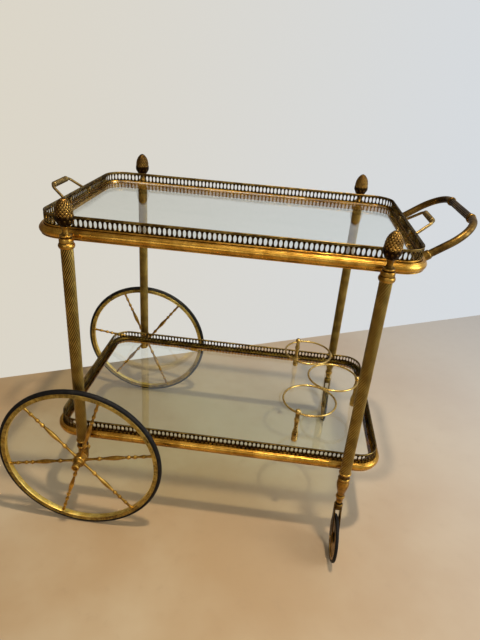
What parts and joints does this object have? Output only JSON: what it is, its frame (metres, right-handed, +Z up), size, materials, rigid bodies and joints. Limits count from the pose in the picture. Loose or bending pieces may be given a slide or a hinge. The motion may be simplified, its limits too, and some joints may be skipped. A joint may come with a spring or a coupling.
{
  "type": "food service trolley",
  "caption": "Two-tier brass drinks trolley with glass shelves, lift-off gallery tray, bottle rings, push handle, large spoked wheels at one end and swivel casters at the other.",
  "frame": {"origin": "on the floor, midway between the four posts", "axes": "+X along the trolley towards the push handle and casters, +Y across it, +Z up"},
  "size_m": [0.9032, 0.606, 0.722],
  "materials": {
    "brass_turned": "aged, tarnished in the grooves",
    "brass_moulding": "polished on the crowns, brown in the hollows",
    "brass_gallery": "aged, dark between the holes",
    "brass_wheel": "satin with tarnish specks",
    "brass_fittings": "satin",
    "steel": "plain turned",
    "tyre_rubber": "matte black",
    "clear_glass": "polished, faint green-grey tint"
  },
  "bodies": {
    "frame": {"axle_cap_nuts": "brass_wheel", "capital_back_left": "brass_turned", "capital_back_right": "brass_turned", "capital_front_left": "brass_turned", "capital_front_right": "brass_turned", "caster_leg_back": "brass_turned", "caster_leg_front": "brass_turned", "finial_back_left": "brass_turned", "finial_back_right": "brass_turned", "finial_front_left": "brass_turned", "finial_front_right": "brass_turned", "lower_gallery_corners": "brass_gallery", "lower_gallery_sides": "brass_gallery", "lower_glass": "clear_glass", "lower_rail": "brass_moulding", "post_tie_rods": "steel", "post_tube_back_left": "brass_turned", "post_tube_back_right": "brass_turned", "post_tube_front_left": "brass_turned", "post_tube_front_right": "brass_turned", "push_handle": "brass_moulding", "push_handle_collars": "brass_moulding", "push_handle_sockets": "brass_moulding", "rail_brackets": "brass_turned", "top_rail": "brass_moulding", "wheel_axle_back": "brass_wheel", "wheel_axle_front": "brass_wheel", "wheel_foot_back": "brass_turned", "wheel_foot_front": "brass_turned"},
    "tray": {"tray_gallery_corners": "brass_gallery", "tray_gallery_sides": "brass_gallery", "tray_glass": "clear_glass", "tray_handle_grip_left": "brass_fittings", "tray_handle_grip_right": "brass_fittings", "tray_handle_left": "brass_fittings", "tray_handle_nuts": "brass_fittings", "tray_handle_right": "brass_fittings", "tray_rim": "brass_gallery"},
    "bottle_rack": {"bottle_ring_back": "brass_fittings", "bottle_ring_end": "brass_fittings", "bottle_ring_front": "brass_fittings", "rack_legs": "brass_fittings"},
    "wheel_front": {"wheel_hub_front": "brass_wheel", "wheel_rim_front": "brass_wheel", "wheel_spokes_front": "brass_wheel", "wheel_tyre_front": "tyre_rubber"},
    "wheel_back": {"wheel_hub_back": "brass_wheel", "wheel_rim_back": "brass_wheel", "wheel_spokes_back": "brass_wheel", "wheel_tyre_back": "tyre_rubber"},
    "caster_front": {"caster_axle_front": "brass_turned", "caster_fork_front": "brass_turned", "caster_stem_front": "steel"},
    "caster_wheel_front": {"caster_disc_front": "brass_wheel", "caster_tyre_front": "tyre_rubber"},
    "caster_back": {"caster_axle_back": "brass_turned", "caster_fork_back": "brass_turned", "caster_stem_back": "steel"},
    "caster_wheel_back": {"caster_disc_back": "brass_wheel", "caster_tyre_back": "tyre_rubber"}
  },
  "joints": [
    {"name": "wheel_front_spin", "type": "hinge", "parent": "frame", "child": "wheel_front", "pos_m": [-0.275, -0.264, 0.175], "axis": [0, 1, 0], "continuous": true},
    {"name": "wheel_back_spin", "type": "hinge", "parent": "frame", "child": "wheel_back", "pos_m": [-0.275, 0.264, 0.175], "axis": [0, 1, 0], "continuous": true},
    {"name": "caster_front_swivel", "type": "hinge", "parent": "frame", "child": "caster_front", "pos_m": [0.275, -0.242, 0.12], "axis": [0, 0, 1], "continuous": true},
    {"name": "caster_front_roll", "type": "hinge", "parent": "caster_front", "child": "caster_wheel_front", "pos_m": [0.275, -0.265, 0.05], "axis": [1, 0, 0], "continuous": true},
    {"name": "caster_back_swivel", "type": "hinge", "parent": "frame", "child": "caster_back", "pos_m": [0.275, 0.242, 0.12], "axis": [0, 0, 1], "continuous": true},
    {"name": "caster_back_roll", "type": "hinge", "parent": "caster_back", "child": "caster_wheel_back", "pos_m": [0.275, 0.219, 0.05], "axis": [1, 0, 0], "continuous": true},
    {"name": "tray_lift", "type": "slide", "parent": "frame", "child": "tray", "axis": [0, 0, 1], "range_m": [0, 0.25]},
    {"name": "rack_lift", "type": "slide", "parent": "frame", "child": "bottle_rack", "axis": [0, 0, 1], "range_m": [0, 0.15]}
  ]
}
